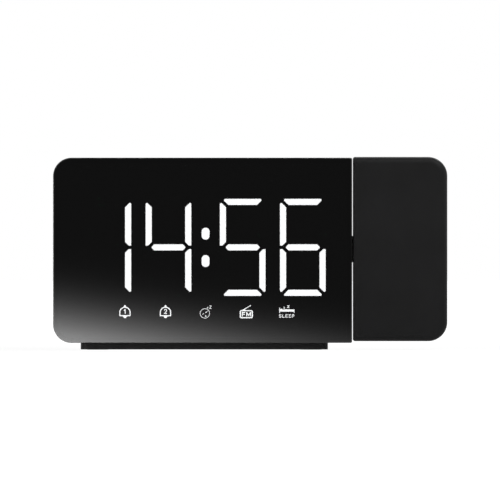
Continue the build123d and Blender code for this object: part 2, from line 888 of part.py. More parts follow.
def board_header():
    """Pin strip that joins the display board to the main board."""
    z = main_pcb_bottom + header_rise
    return span(main_pcb_mid_x - header_length / 2, main_pcb_mid_x + header_length / 2,
                display_pcb_back, main_pcb_front, z - header_width / 2, z + header_width / 2)


def key_ribbon():
    """Flat jumper between the key board and the main board."""
    x = main_pcb_left + main_pcb_width / 4
    return span(x - ribbon_width / 2, x + ribbon_width / 2, main_pcb_back, main_pcb_back + ribbon_thickness,
                main_pcb_top - ribbon_overlap, key_pcb_bottom)


def speaker_frame():
    """Loudspeaker basket: a flat rim against the back and a can that narrows to the magnet."""
    rim_front = inner_back - speaker_rim_depth
    frame = rod_y(speaker_x, speaker_z, rim_front, inner_back, speaker_radius)
    basket = Pos(speaker_x, rim_front, speaker_z) * Rot(90, 0, 0) * Cone(
        speaker_radius - speaker_rim, magnet_radius + speaker_rim, basket_depth,
        align=(Align.CENTER, Align.CENTER, Align.MIN))
    frame += basket
    room = speaker_radius - speaker_rim - cone_thickness
    frame -= rod_y(speaker_x, speaker_z, rim_front, inner_back, room)
    hollow = Pos(speaker_x, rim_front, speaker_z) * Rot(90, 0, 0) * Cone(
        room, magnet_radius + speaker_rim / 2, basket_depth - cone_thickness,
        align=(Align.CENTER, Align.CENTER, Align.MIN))
    return frame - hollow


def speaker_magnet():
    """Magnet behind the basket."""
    y1 = inner_back - speaker_rim_depth - basket_depth
    return rod_y(speaker_x, speaker_z, y1 - magnet_depth, y1, magnet_radius)


def speaker_cone():
    """Paper cone with its dust cap, held at the rim."""
    outer = speaker_radius - speaker_rim - cone_thickness
    profile = [
        (outer, 0), (outer, -cone_thickness), (cone_hub_radius, -cone_depth - cone_thickness),
        (0, -cone_depth - cone_thickness), (0, -cone_depth), (cone_hub_radius, -cone_depth),
        (outer - 2 * cone_thickness, 0),
    ]
    face = Plane.XY * make_face(Polyline(*profile, close=True))
    solid = revolve(face, Axis.Y)
    return Pos(speaker_x, inner_back - speaker_rim_depth / 2, speaker_z) * solid


def coin_cell():
    """Backup cell with its stepped can."""
    cell = rod_y(cell_x, cell_z, cell_front + cell_step, cell_back, cell_radius)
    return cell + rod_y(cell_x, cell_z, cell_front, cell_front + cell_step, cell_radius - 2 * cell_step)


def cell_contact_negative():
    """Flat spring under the cell."""
    floor = cup_inner
    blade = span(cell_x - cell_radius / 2, cell_x + cell_radius / 2, floor, floor + contact_thickness,
                 cell_z - contact_width / 2, cell_z + contact_width / 2)
    return blade + rod_y(cell_x, cell_z, floor + contact_thickness, cell_front, contact_width / 2)


def cell_contact_positive():
    """Upright tab that grips the rim of the cell from above."""
    return contact_blade(0)


def dc_jack():
    """Barrel socket for the power lead, with its centre pin."""
    face_y = back_y - jack_flush
    body = span(jack_x - jack_width / 2, jack_x + jack_width / 2, main_pcb_back, inner_back,
                jack_z - jack_height / 2, jack_z + jack_height / 2)
    body += rod_y(jack_x, jack_z, inner_back, face_y, jack_nose_radius)
    body -= rod_y(jack_x, jack_z, face_y - jack_bore_depth, face_y, jack_bore_radius)
    return body + rod_y(jack_x, jack_z, face_y - jack_bore_depth, face_y - jack_pin_short, jack_pin_radius)


def antenna_grommet():
    """Rubber bush for the aerial wire."""
    outer_y = back_y - grommet_recess
    bush = rod_y(grommet_x, grommet_z, inner_back - grommet_lip_thickness, outer_y, grommet_radius)
    bush += rod_y(grommet_x, grommet_z, inner_back - grommet_lip_thickness, inner_back,
                  grommet_radius + grommet_lip)
    return bush - rod_y(grommet_x, grommet_z, inner_back - grommet_lip_thickness, outer_y, grommet_bore)


def pad_places():
    """Where the four pads sit."""
    return [
        (x, y)
        for x in (pedestal_left + pad_inset_x, pedestal_right - pad_inset_x)
        for y in (pedestal_front + pad_inset_y, pedestal_back - pad_inset_y)
    ]


def pedestal():
    """Low plinth under the body, with seats for its pads and screws."""
    middle_x, middle_y = (pedestal_left + pedestal_right) / 2, (pedestal_front + pedestal_back) / 2
    face = Pos(middle_x, middle_y) * RectangleRounded(
        pedestal_right - pedestal_left, pedestal_back - pedestal_front, pedestal_corner)
    plinth = Pos(0, 0, pad_proud) * extrude(face, housing_bottom - pad_proud)
    plinth -= [rod_z(x, y, pad_proud, pad_thickness, pad_radius) for x, y in pad_places()]
    for x in pedestal_screw_places():
        plinth -= rod_z(x, 0, pad_proud, housing_bottom, screw_radius + close_clearance)
        plinth -= rod_z(x, 0, pad_proud, pad_proud + screw_head_height, screw_head_radius + slide_clearance)
    return plinth


def rubber_pads():
    """Four soft feet."""
    return Part() + [rod_z(x, y, 0, pad_thickness, pad_radius) for x, y in pad_places()]


def pedestal_screws():
    """Two screws driven up through the pedestal."""
    screws = []
    for x in pedestal_screw_places():
        seat = pad_proud + screw_head_height
        head = rod_z(x, 0, pad_proud + close_clearance, seat, screw_head_radius)
        screws.append(head + rod_z(x, 0, seat, inner_bottom + screw_bite / 2, screw_radius))
    return Part() + screws


def friction_washer():
    """Spring washer that gives the head its drag."""
    washer = rod_x(washer_left, washer_right, 0, pivot_z, washer_radius)
    washer -= rod_x(washer_left, washer_right, 0, pivot_z, hub_radius + close_clearance)
    return washer & span(washer_left, washer_right, seam_y + slide_clearance, back_y, body_bottom, body_top)


def swivel_hub():
    """Hollow axle of the head, flanged inside the head and grooved for its clip."""
    hub = rod_x(hub_left, flange_right, 0, pivot_z, hub_radius)
    hub += rod_x(flange_left, flange_right, 0, pivot_z, hub_flange_radius)
    groove = rod_x(clip_left, clip_right, 0, pivot_z, hub_radius)
    groove -= rod_x(clip_left, clip_right, 0, pivot_z, hub_radius - ring_groove_depth)
    hub -= groove
    hub -= rod_x(hub_left, flange_right, 0, pivot_z, hub_bore)
    return hub - [
        rod_x(flange_left, flange_right, y, z, small_screw_radius + close_clearance)
        for y, z in hub_screw_places()
    ]


def hub_screw_places():
    """Y and Z of the screws around the hub's flange."""
    return [
        (hub_screw_circle * math.sin(2 * math.pi * i / hub_screw_count),
         pivot_z + hub_screw_circle * math.cos(2 * math.pi * i / hub_screw_count))
        for i in range(hub_screw_count)
    ]


def hub_screws():
    """Small screws that hold the hub's flange to the head."""
    screws = []
    for y, z in hub_screw_places():
        head = rod_x(flange_right, flange_right + small_screw_head_height, y, z,
                     small_screw_head_radius)
        screws.append(head + rod_x(head_inner_left - head_wall / 2, flange_right, y, z, small_screw_radius))
    return Part() + screws


def retaining_clip():
    """Open clip in the hub's groove."""
    inner = hub_radius - ring_groove_depth + fit_clearance
    clip = rod_x(clip_left, clip_right, 0, pivot_z, ring_reach)
    clip -= rod_x(clip_left, clip_right, 0, pivot_z, inner)
    half = ring_opening / 2
    return clip - span(clip_left, clip_right, -half, half, pivot_z - ring_reach, pivot_z)


def swivel_cable(x0, x1):
    """One half of the cable that runs through the hub on its axis."""
    return rod_x(x0, x1, 0, pivot_z, cable_radius)


def head_outer():
    """Whole outer form of the head."""
    form = slab(outline(head_left, head_right, head_bottom, head_top, 0, head_corner), head_front, head_back)
    chain = []
    for face in (form.faces().sort_by(Axis.Y)[0], form.faces().sort_by(Axis.Y)[-1]):
        chain += [edge for edge in face.edges() if edge.center().X > head_left + touching]
    form = fillet(chain, edge_round)
    return fillet(form.faces().sort_by(Axis.X)[0].edges(), meeting_corner)


def head_inner(y0, y1):
    """Room inside the head between two depths."""
    return slab(
        outline(head_inner_left, head_right - head_wall, head_bottom + head_wall, head_top - head_wall,
                0, head_corner - head_wall), y0, y1)


def head_block(y0, y1):
    """Block that takes in the whole head between two depths."""
    return span(head_left - cut_margin, head_right + cut_margin, y0, y1,
                head_bottom - cut_margin, head_top + cut_margin)


def head_front_shell():
    """Front shell of the head: walls, hub seat, focus pocket, barrel socket, shelf and posts."""
    shell = head_outer() & head_block(head_front - cut_margin, head_seam)
    shell = chamfer(shell.faces().sort_by(Axis.Y)[-1].edges(), seam_chamfer)
    shell -= head_inner(head_front + head_wall, head_seam)
    room = head_inner(head_front + head_wall / 2, head_seam)
    hub_seat = rod_x(head_inner_left - head_wall / 2, flange_left, 0, pivot_z, hub_flange_radius + hub_pad)
    shell += hub_seat & room
    pocket_wall = focus_radius + ring_pocket_clearance + pocket_floor
    socket_wall = barrel_radius + fit_clearance + barrel_socket_wall
    tube = rod_z(optic_x, 0, socket_top, head_top - head_wall / 2, pocket_wall)
    tube += rod_z(optic_x, 0, socket_top - barrel_socket_length, socket_top, socket_wall)
    shell += tube & span(head_left, head_right, head_front + head_wall / 2, head_seam, head_bottom, head_top)
    for x in head_post_xs:
        for z in head_post_zs:
            shell += rod_y(x, z, head_front + head_wall / 2, head_seam, head_post_radius)
    shell += span(optic_x - barrel_radius, optic_x + barrel_radius, head_front + head_wall / 2, barrel_radius,
                  shelf_top - shelf_thickness, shelf_top)
    rib_back = head_front + head_wall + rib_depth
    rib_half = projector_pcb_half_height - rib_depth
    for x in (projector_pcb_x - close_clearance - rib_thickness,
              projector_pcb_x + pcb_thickness + close_clearance):
        shell += span(x, x + rib_thickness, head_front + head_wall / 2, rib_back,
                      pivot_z - rib_half, pivot_z + rib_half)
    shell -= rod_z(optic_x, 0, pocket_bottom, head_top, focus_radius + ring_pocket_clearance)
    shell -= rod_z(optic_x, 0, socket_top, pocket_bottom, cell_tube_radius + slide_clearance)
    shell -= rod_z(optic_x, 0, socket_top - barrel_socket_length, socket_top, barrel_radius + fit_clearance)
    shell -= rod_x(head_left, flange_left, 0, pivot_z, hub_radius + fit_clearance)
    for y, z in hub_screw_places():
        shell -= rod_x(head_inner_left - head_wall / 2 - fit_clearance, flange_left, y, z,
                       small_screw_radius + thread_clearance)
    for x in head_post_xs:
        for z in head_post_zs:
            shell -= rod_y(x, z, head_seam - screw_bite - fit_clearance, head_seam,
                           screw_radius + thread_clearance)
    return shell


def head_rear_cover():
    """Back cover of the head with four sunk screw seats."""
    cover = head_outer() & head_block(head_seam, head_back + cut_margin)
    cover = chamfer(cover.faces().sort_by(Axis.Y)[0].edges(), seam_chamfer)
    cover -= head_inner(head_seam, head_back - head_wall)
    for x in head_post_xs:
        for z in head_post_zs:
            cover += rod_y(x, z, head_seam, head_back - head_wall / 2,
                           screw_head_radius + slide_clearance + head_seat_wall)
    cover &= head_outer()
    for x in head_post_xs:
        for z in head_post_zs:
            cover -= rod_y(x, z, head_seam, head_back, screw_radius + close_clearance)
            cover -= rod_y(x, z, head_screw_seat, head_back, screw_head_radius + slide_clearance)
    return cover


def head_screws():
    """Four screws that close the head."""
    return Part() + [
        screw_y(x, z, head_screw_seat, head_seam - screw_bite, screw_radius,
                screw_head_radius, screw_head_height)
        for x in head_post_xs for z in head_post_zs
    ]


def lens_arc(radius, rim_z, centre_z):
    """Arc of a lens face, from the optical axis out to the rim."""
    bulge = centre_z - rim_z
    sphere = (radius**2 + bulge**2) / (2 * abs(bulge))
    half_drop = sphere - math.sqrt(sphere**2 - radius**2 / 4)
    middle = (radius / 2, centre_z - math.copysign(half_drop, bulge))
    return ThreePointArc((0, centre_z), middle, (radius, rim_z))


def lens(radius, edge, low_bulge, high_bulge, z):
    """Round lens about the optical axis, its rim from z up to z plus edge."""
    section = make_face([
        Line((0, -low_bulge), (0, edge + high_bulge)),
        lens_arc(radius, edge, edge + high_bulge),
        Line((radius, 0), (radius, edge)),
        lens_arc(radius, 0, -low_bulge),
    ])
    return Pos(optic_x, 0, z) * revolve(Plane.XZ * section, Axis.Z)


def lens_barrel():
    """Tube that holds the lamp, the slide and the sliding lens cell in line."""
    barrel = rod_z(optic_x, 0, barrel_bottom, socket_top, barrel_radius)
    barrel -= rod_z(optic_x, 0, barrel_bottom, socket_top, barrel_bore)
    barrel -= rod_z(optic_x, 0, socket_top - barrel_top_length, socket_top, barrel_top_bore)
    half = lead_width / 2 + slide_clearance
    for z in (barrel_bottom, slide_bottom):
        barrel -= span(optic_x - barrel_radius, optic_x - barrel_bore / 2, -half, half,
                       z, z + led_board_thickness + slide_clearance)
    return barrel


def projector_lamp():
    """Small round board with a white lamp at the foot of the barrel."""
    board = rod_z(optic_x, 0, barrel_bottom, barrel_bottom + led_board_thickness, barrel_bore - fit_clearance)
    top = barrel_bottom + led_board_thickness
    half = led_size / 2
    return board + span(optic_x - half, optic_x + half, -half, half, top, top + led_height)


def lcd_slide():
    """Clear display slide in a round carrier."""
    pane_bottom = slide_bottom + slide_carrier_thickness
    carrier = rod_z(optic_x, 0, slide_bottom, pane_bottom, barrel_bore - fit_clearance)
    half = slide_width / 2
    carrier -= rod_z(optic_x, 0, slide_bottom, pane_bottom, half - slide_lap)
    pane = span(optic_x - half, optic_x + half, -half, half, pane_bottom, pane_bottom + slide_thickness)
    return carrier + pane


def projector_leads():
    """Two flat jumpers from the head's board to the lamp and to the slide."""
    half = lead_width / 2
    board_right = projector_pcb_x + pcb_thickness
    reach = optic_x - barrel_bore
    return Part() + [
        span(board_right, reach, -half, half, z, z + lead_thickness)
        for z in (barrel_bottom + close_clearance, slide_bottom + close_clearance)
    ]


def projector_board():
    """Driver board in the head, with the socket for the swivel cable."""
    low = barrel_bottom - pcb_margin
    board = span(projector_pcb_x, projector_pcb_x + pcb_thickness, head_front + head_wall + close_clearance,
                 head_seam - projector_pcb_setback, low, pivot_z + projector_pcb_half_height)
    half = cable_radius + close_clearance + pcb_thickness / 2
    return board + span(head_socket_left, projector_pcb_x, -half, half, pivot_z - half, pivot_z + half)


def lens_cell():
    """Sliding tube that carries the front lens."""
    cell = rod_z(optic_x, 0, cell_tube_bottom, cell_tube_top, cell_tube_radius)
    cell -= rod_z(optic_x, 0, cell_tube_bottom, cell_tube_top, cell_tube_bore - cell_lip)
    seat = cell_tube_top - cell_lip_thickness
    lens_low = seat - objective_edge - objective_bulge - fit_clearance
    return cell - rod_z(optic_x, 0, lens_low, seat, cell_tube_bore)


def objective_lens():
    """Front lens, seated under the lip of its cell."""
    z = cell_tube_top - cell_lip_thickness - objective_edge - fit_clearance
    return lens(objective_radius, objective_edge, objective_bulge, objective_top_bulge, z)


def condenser_lens():
    """Lens that gathers the lamp's light."""
    return lens(condenser_radius, condenser_edge, condenser_low_bulge, condenser_bulge,
                barrel_bottom + condenser_rise)


def focus_ring():
    """Ring around the lens, with radial grips on its top face."""
    ring = rod_z(optic_x, 0, focus_bottom, focus_top, focus_radius)
    ring = fillet(ring.faces().sort_by(Axis.Z)[-1].edges(), key_round)
    ring -= rod_z(optic_x, 0, focus_bottom, focus_top, focus_bore)
    middle = (focus_bore + focus_radius) / 2 + cell_lip / 2
    groove = Pos(middle, 0, 0) * Box(focus_radius - focus_bore, grip_width, 2 * grip_depth)
    return ring - [
        Pos(optic_x, 0, focus_top) * Rot(0, 0, 360 * i / grip_count) * groove for i in range(grip_count)
    ]


nodes = {
    "front_panel": front_panel(),
    "display_film": display_film(),
    "digit_reflector": digit_reflector(),
    "lit_bars": guides(lit_faces(), film_front),
    "unlit_bars": guides(unlit_faces(), film_front),
    "icon_guides": guides(icon_faces(), film_back),
    "display_diodes": display_diodes(),
    "display_board": display_pcb(),
    "display_screws": display_screws(),
    "front_housing": front_housing(),
    "rear_housing": rear_housing(),
    "housing_screws": housing_screws(),
    "main_board": main_pcb(),
    "main_board_parts": main_pcb_parts(),
    "main_board_screws": board_screws(),
    "board_header": board_header(),
    "key_board": key_pcb(),
    "key_switches": key_switches(),
    "key_ribbon": key_ribbon(),
    "speaker_frame": speaker_frame(),
    "speaker_magnet": speaker_magnet(),
    "speaker_cone": speaker_cone(),
    "coin_cell": coin_cell(),
    "cell_contact_negative": cell_contact_negative(),
    "cell_contact_positive": cell_contact_positive(),
    "battery_cover": battery_cover(),
    "dc_jack": dc_jack(),
    "antenna_grommet": antenna_grommet(),
    "pedestal": pedestal(),
    "rubber_pads": rubber_pads(),
    "pedestal_screws": pedestal_screws(),
    "friction_washer": friction_washer(),
    "swivel_cable_body": swivel_cable(main_pcb_right, cable_joint_x),
    "swivel_cable_head": swivel_cable(cable_joint_x, head_socket_left),
    "swivel_hub": swivel_hub(),
    "hub_screws": hub_screws(),
    "retaining_clip": retaining_clip(),
    "head_front_shell": head_front_shell(),
    "head_rear_cover": head_rear_cover(),
    "head_screws": head_screws(),
    "projector_board": projector_board(),
    "projector_leads": projector_leads(),
    "lens_barrel": lens_barrel(),
    "projector_lamp": projector_lamp(),
    "condenser_lens": condenser_lens(),
    "lcd_slide": lcd_slide(),
    "lens_cell": lens_cell(),
    "objective_lens": objective_lens(),
    "focus_ring": focus_ring(),
}
for key_name, key_x, cap_width in key_places():
    nodes[key_name] = key(key_x, cap_width)

os.makedirs("parts", exist_ok=True)
for node, shape in nodes.items():
    export_step(shape, f"parts/{node}.step")
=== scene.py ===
import json
import math
import bpy
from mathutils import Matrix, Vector
from mathutils.geometry import delaunay_2d_cdt


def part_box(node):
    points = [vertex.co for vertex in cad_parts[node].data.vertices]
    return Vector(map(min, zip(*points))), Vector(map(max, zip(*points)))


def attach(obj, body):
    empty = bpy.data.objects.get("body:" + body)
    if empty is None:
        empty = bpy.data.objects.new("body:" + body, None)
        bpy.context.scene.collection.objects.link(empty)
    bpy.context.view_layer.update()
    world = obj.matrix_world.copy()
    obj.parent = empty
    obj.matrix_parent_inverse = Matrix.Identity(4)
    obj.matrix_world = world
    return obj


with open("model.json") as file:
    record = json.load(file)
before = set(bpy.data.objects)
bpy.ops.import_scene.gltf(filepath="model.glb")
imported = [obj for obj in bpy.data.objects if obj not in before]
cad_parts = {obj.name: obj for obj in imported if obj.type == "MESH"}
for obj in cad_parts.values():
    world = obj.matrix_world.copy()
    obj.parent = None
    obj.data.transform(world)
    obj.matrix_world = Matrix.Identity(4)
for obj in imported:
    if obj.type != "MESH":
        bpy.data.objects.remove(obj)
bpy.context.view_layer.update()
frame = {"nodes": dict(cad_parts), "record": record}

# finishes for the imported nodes, and the lit symbols, the print and the bare label that lie on them
mm = 0.001
print("stage: frame loaded,", len(frame["nodes"]), "nodes")


def centreOf(node):
    low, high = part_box(node)
    return (low + high) / 2


def topOf(node):
    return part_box(node)[1].z


def backOf(node):
    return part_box(node)[1].y


def frontOf(node):
    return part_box(node)[0].y


# straight at the display, from far off
shot = {
    "distance": 9.0,            # metres, far enough to see through the slit beside the head
    "frameWidth": 0.2357,       # what the picture takes in at the display
    "aimX": -0.0001,
    "aimZ": 0.047,
}


def makeCamera():
    data = bpy.data.cameras.new("camera")
    data.sensor_width = 36
    data.lens = data.sensor_width * shot["distance"] / shot["frameWidth"]
    data.clip_start = 0.1
    data.clip_end = 100
    camera = bpy.data.objects.new("camera", data)
    camera.location = (shot["aimX"], frontOf("front_panel") - shot["distance"], shot["aimZ"])
    camera.rotation_euler = (math.pi / 2, 0, 0)
    bpy.context.scene.collection.objects.link(camera)
    bpy.context.scene.camera = camera


makeCamera()
print("stage: camera set")


class Value:  # a socket's value; arithmetic on it adds Math nodes
    def __init__(self, tree, socket):
        self.tree = tree
        self.socket = socket

    def maths(self, operation, first, second):
        return self.tree.node("Math", {"operation": operation}, {0: first, 1: second})

    def __add__(self, other):
        return self.maths("ADD", self, other)

    def __radd__(self, other):
        return self.maths("ADD", other, self)

    def __sub__(self, other):
        return self.maths("SUBTRACT", self, other)

    def __rsub__(self, other):
        return self.maths("SUBTRACT", other, self)

    def __mul__(self, other):
        return self.maths("MULTIPLY", self, other)

    def __rmul__(self, other):
        return self.maths("MULTIPLY", other, self)

    def __rpow__(self, other):
        return self.maths("POWER", other, self)

    def atLeast(self, other):
        return self.maths("MAXIMUM", self, other)

    def atMost(self, other):
        return self.maths("MINIMUM", self, other)

    def part(self, name):  # another value that comes out of the same node
        return Value(self.tree, self.socket.node.outputs[name])


class Tree:  # one node tree, and the nodes that the finishes are made of
    def __init__(self, nodeTree):
        self.nodes = nodeTree.nodes
        self.links = nodeTree.links
        self.nodes.clear()

    def node(self, kind, settings=None, sockets=None, out=0):
        made = self.nodes.new("ShaderNode" + kind)
        for name, value in (settings or {}).items():
            if name == "stops":
                self.setStops(made.color_ramp, value)
            else:
                setattr(made, name, value)
        for name, value in (sockets or {}).items():
            if isinstance(value, Value):
                self.links.new(value.socket, made.inputs[name])
            else:
                made.inputs[name].default_value = value
        return Value(self, made.outputs[out]) if len(made.outputs) else None

    def setStops(self, ramp, stops):
        while len(ramp.elements) > len(stops):
            ramp.elements.remove(ramp.elements[-1])
        while len(ramp.elements) < len(stops):
            ramp.elements.new(1.0)
        for element, (place, tone) in zip(ramp.elements, stops):
            element.position = place
            element.color = (tone, tone, tone, 1)

    def place(self):  # position on the piece itself, in metres
        return self.node("TexCoord", out="Object")

    def noise(self, scale, detail=2.0, roughness=0.5, vector=None):
        sockets = {"Scale": scale, "Detail": detail, "Roughness": roughness}
        sockets["Vector"] = vector or self.place()
        return self.node("TexNoise", {"noise_dimensions": "3D"}, sockets, "Fac")

    def fit(self, value, newLow, newHigh, low=0.3, high=0.7):  # noise is mostly between 0.3 and 0.7
        sockets = {"Value": value, "From Min": low, "From Max": high, "To Min": newLow, "To Max": newHigh}
        return self.node("MapRange", {"clamp": True}, sockets)

    def blend(self, share, first, second):  # by number, because the node's sockets share their names
        return self.node("Mix", {"data_type": "RGBA"}, {0: share, 6: first, 7: second}, 2)

    def bump(self, height, depth, strength, normal=None):
        sockets = {"Height": height, "Distance": depth, "Strength": strength}
        if normal:
            sockets["Normal"] = normal
        return self.node("Bump", None, sockets)

    def softEdges(self, radius):  # makes sharp edges catch light as small rounds do
        return self.node("Bevel", {"samples": 4}, {"Radius": radius})


class Finish(Tree):  # a material built on one Principled shader
    def __init__(self, name):
        self.material = bpy.data.materials.new(name)
        self.material.use_nodes = True
        super().__init__(self.material.node_tree)

    def surface(self, sockets):
        shader = self.node("BsdfPrincipled", None, sockets)
        self.node("OutputMaterial", None, {"Surface": shader})
        return self.material


def grey(tone, blue=0.0):
    return (tone, tone, tone + blue, 1)


mould = {  # the unevenness that all moulded plastic shares
    "grainScale": 2600,         # of the spark texture
    "mottleScale": 420,
    "driftScale": 55,
    "mottleHeight": 0.35,       # as a share of the grain's
    "darkest": 0.86,            # shares of the tone
    "lightest": 1.18,
    "blue": 0.04,
    "smoother": 0.035,          # how far the roughness falls and rises
    "rougher": 0.045,
}
blackPlastic = {  # tone, roughness, shine, depth of the spark texture, rounding of edges
    "housing_black": (0.0165, 0.48, 0.14, 0.012 * mm, 0.25 * mm),
    "head_black": (0.0149, 0.48, 0.08, 0.012 * mm, 0.25 * mm),
    "key_black": (0.013, 0.4, 0.2, 0.006 * mm, 0.15 * mm),
    "inner_black": (0.018, 0.42, 0.35, 0.004 * mm, 0.1 * mm),
}


def mouldedPlastic(name, tone, roughness, shine, depth, rounding):
    made = Finish(name)
    grain = made.noise(mould["grainScale"], 3.0, 0.6)
    drift = made.noise(mould["driftScale"])
    mottle = made.noise(mould["mottleScale"])
    height = grain + mould["mottleHeight"] * mottle
    light = grey(tone * mould["lightest"], tone * mould["blue"])
    smooth, rough = roughness - mould["smoother"], roughness + mould["rougher"]
    return made.surface({
        "Base Color": made.blend(drift, grey(tone * mould["darkest"]), light),
        "Roughness": made.fit(drift * 0.6 + mottle * 0.4, smooth, rough, 0.35, 0.65),
        "IOR": 1.5,
        "Specular IOR Level": shine,
        "Normal": made.bump(height, depth, 0.8, made.softEdges(rounding)),
    })


smokedGlass = {
    "tint": 0.06,
    "cloud": 0.02,              # share by which the tint varies
    "roughness": 0.015,
    "smear": 0.02,              # roughness added where it is touched
    "wave": 0.0004 * mm,
}


def smokedPanel(name):
    made = Finish(name)
    smear = made.noise(38, 3.0, 0.55)
    wave = made.noise(14, 1.0, 0.4)
    dark = grey(smokedGlass["tint"] * (1 - smokedGlass["cloud"]))
    light = grey(smokedGlass["tint"] * (1 + smokedGlass["cloud"]))
    clean = smokedGlass["roughness"]
    return made.surface({
        "Base Color": made.blend(smear, dark, light),
        "Roughness": made.fit(smear, clean, clean + smokedGlass["smear"], 0.45, 0.75),
        "IOR": 1.49,
        "Transmission Weight": 1.0,
        "Normal": made.bump(wave, smokedGlass["wave"], 0.4),
    })


film = {"dark": 0.0025, "light": 0.004, "smooth": 0.66, "rough": 0.74, "shine": 0.06}


def printedFilm(name):
    made = Finish(name)
    cloud = made.noise(60, 3.0, 0.6)
    return made.surface({
        "Base Color": made.blend(cloud, grey(film["dark"]), grey(film["light"])),
        "Roughness": made.fit(cloud, film["smooth"], film["rough"]),
        "Specular IOR Level": film["shine"],
    })


lightGuide = {
    "shine": 18.4,              # white, once the smoked panel has dimmed it
    "dimmest": 0.96,            # share of the glow that is left in the cloudy spots
    "tone": (0.985, 0.992, 1.0),  # of the glow, and then of the guide itself
    "dark": (0.8, 0.82, 0.84, 1),
    "light": (0.88, 0.9, 0.92, 1),
    "smooth": 0.32,
    "rough": 0.42,
}


def litGuide(name):
    made = Finish(name)
    cloud = made.noise(160)
    bright = lightGuide["tone"] + (1,)
    dim = tuple(share * lightGuide["dimmest"] for share in lightGuide["tone"]) + (1,)
    return made.surface({
        "Base Color": made.blend(cloud, lightGuide["dark"], lightGuide["light"]),
        "Roughness": made.fit(cloud, lightGuide["smooth"], lightGuide["rough"]),
        "Emission Color": made.blend(cloud, dim, bright),
        "Emission Strength": lightGuide["shine"],
    })


darkGuide = {"dark": 0.003, "light": 0.0045, "smooth": 0.5, "rough": 0.6, "shine": 0.08}


def unlitGuide(name):
    made = Finish(name)
    cloud = made.noise(180)
    return made.surface({
        "Base Color": made.blend(cloud, grey(darkGuide["dark"]), grey(darkGuide["light"])),
        "Roughness": made.fit(cloud, darkGuide["smooth"], darkGuide["rough"]),
        "Specular IOR Level": darkGuide["shine"],
    })


ink = {  # what all print and foil share
    "speckScale": 2400,
    "darkBlue": 0.04,           # shares of the tone
    "lightBlue": 0.03,
    "smoother": 0.04,           # how far the roughness falls and rises
    "rougher": 0.06,
    "depth": 0.002 * mm,
}
prints = {  # dark tone, light tone, roughness
    "key_ink": (0.5, 0.62, 0.45),
    "case_ink": (0.2, 0.26, 0.5),
    "label_foil": (0.045, 0.06, 0.32),
}


def printed(name, dark, light, roughness):
    made = Finish(name)
    speck = made.noise(ink["speckScale"], 2.0, 0.6)
    darkGrey = grey(dark, dark * ink["darkBlue"])
    lightGrey = grey(light, light * ink["lightBlue"])
    return made.surface({
        "Base Color": made.blend(speck, darkGrey, lightGrey),
        "Roughness": made.fit(speck, roughness - ink["smoother"], roughness + ink["rougher"]),
        "Normal": made.bump(speck, ink["depth"], 0.5),
    })


board = {  # solder mask, darkest and lightest, and where it lies over a track
    "mask": (0.008, 0.07, 0.028, 1),
    "paleMask": (0.012, 0.09, 0.036, 1),
    "track": (0.02, 0.15, 0.06, 1),
    "trackHeight": 0.03 * mm,
    "trackScale": 160,
    "smooth": 0.28,
    "rough": 0.36,
}


def circuitBoard(name):
    made = Finish(name)
    sweep = {"Vector": made.place(), "Scale": board["trackScale"], "Distortion": 3.0, "Detail": 1.0}
    bands = made.node("TexWave", {"bands_direction": "DIAGONAL", "wave_profile": "SAW"}, sweep, "Fac")
    tracks = made.node("ValToRGB", {"stops": [(0.44, 0.0), (0.5, 1.0), (0.56, 0.0)]}, {"Fac": bands})
    cloud = made.noise(90)
    mask = made.blend(cloud, board["mask"], board["paleMask"])
    return made.surface({
        "Base Color": made.blend(tracks, mask, board["track"]),
        "Roughness": made.fit(cloud, board["smooth"], board["rough"]),
        "Normal": made.bump(tracks, board["trackHeight"], 0.6),
    })


plating = {  # what all metal shares
    "cloudScale": 260,
    "scratchScale": 900,
    "stretch": (1, 14, 14),     # the scratches run along X
    "smoother": 0.06,           # how far the roughness falls and rises
    "rougher": 0.1,
    "rounding": 0.08 * mm,
}
metals = {  # dark colour, light colour, roughness, depth of the scratches
    "zinc_steel": ((0.42, 0.43, 0.44, 1), (0.56, 0.56, 0.55, 1), 0.3, 0.004 * mm),
    "spring_steel": ((0.26, 0.27, 0.29, 1), (0.4, 0.41, 0.43, 1), 0.34, 0.003 * mm),
    "nickel": ((0.6, 0.58, 0.54, 1), (0.7, 0.68, 0.64, 1), 0.2, 0.002 * mm),
}


def platedMetal(name, dark, light, roughness, depth):
    made = Finish(name)
    cloud = made.noise(plating["cloudScale"], 3.0, 0.6)
    stretched = made.node("Mapping", None, {"Vector": made.place(), "Scale": plating["stretch"]})
    scratches = made.noise(plating["scratchScale"], 4.0, 0.7, stretched)
    wear = cloud * 0.5 + scratches * 0.5
    return made.surface({
        "Base Color": made.blend(cloud, dark, light),
        "Metallic": 1.0,
        "Roughness": made.fit(wear, roughness - plating["smoother"], roughness + plating["rougher"]),
        "Normal": made.bump(scratches, depth, 0.6, made.softEdges(plating["rounding"])),
    })


dull = {  # what all these share
    "cloudSize": 14,            # in grains
    "smoother": 0.05,           # how far the roughness falls and rises
    "rougher": 0.07,
}
dullStuff = {  # dark tone, light tone, roughness, grain scale, grain depth
    "component_black": (0.012, 0.022, 0.5, 1800, 0.004 * mm),
    "reflector_grey": (0.035, 0.05, 0.6, 1500, 0.004 * mm),
    "ferrite": (0.02, 0.04, 0.62, 2200, 0.01 * mm),
    "cone_paper": (0.012, 0.026, 0.85, 1300, 0.03 * mm),
    "rubber": (0.01, 0.017, 0.7, 1600, 0.012 * mm),
    "cable_jacket": (0.014, 0.022, 0.45, 700, 0.006 * mm),
}


def dullSolid(name, dark, light, roughness, scale, depth):
    made = Finish(name)
    grain = made.noise(scale, 4.0, 0.65)
    cloud = made.noise(scale / dull["cloudSize"])
    return made.surface({
        "Base Color": made.blend(grain * 0.5 + cloud * 0.5, grey(dark), grey(light)),
        "Roughness": made.fit(cloud, roughness - dull["smoother"], roughness + dull["rougher"]),
        "Normal": made.bump(grain, depth, 0.7),
    })


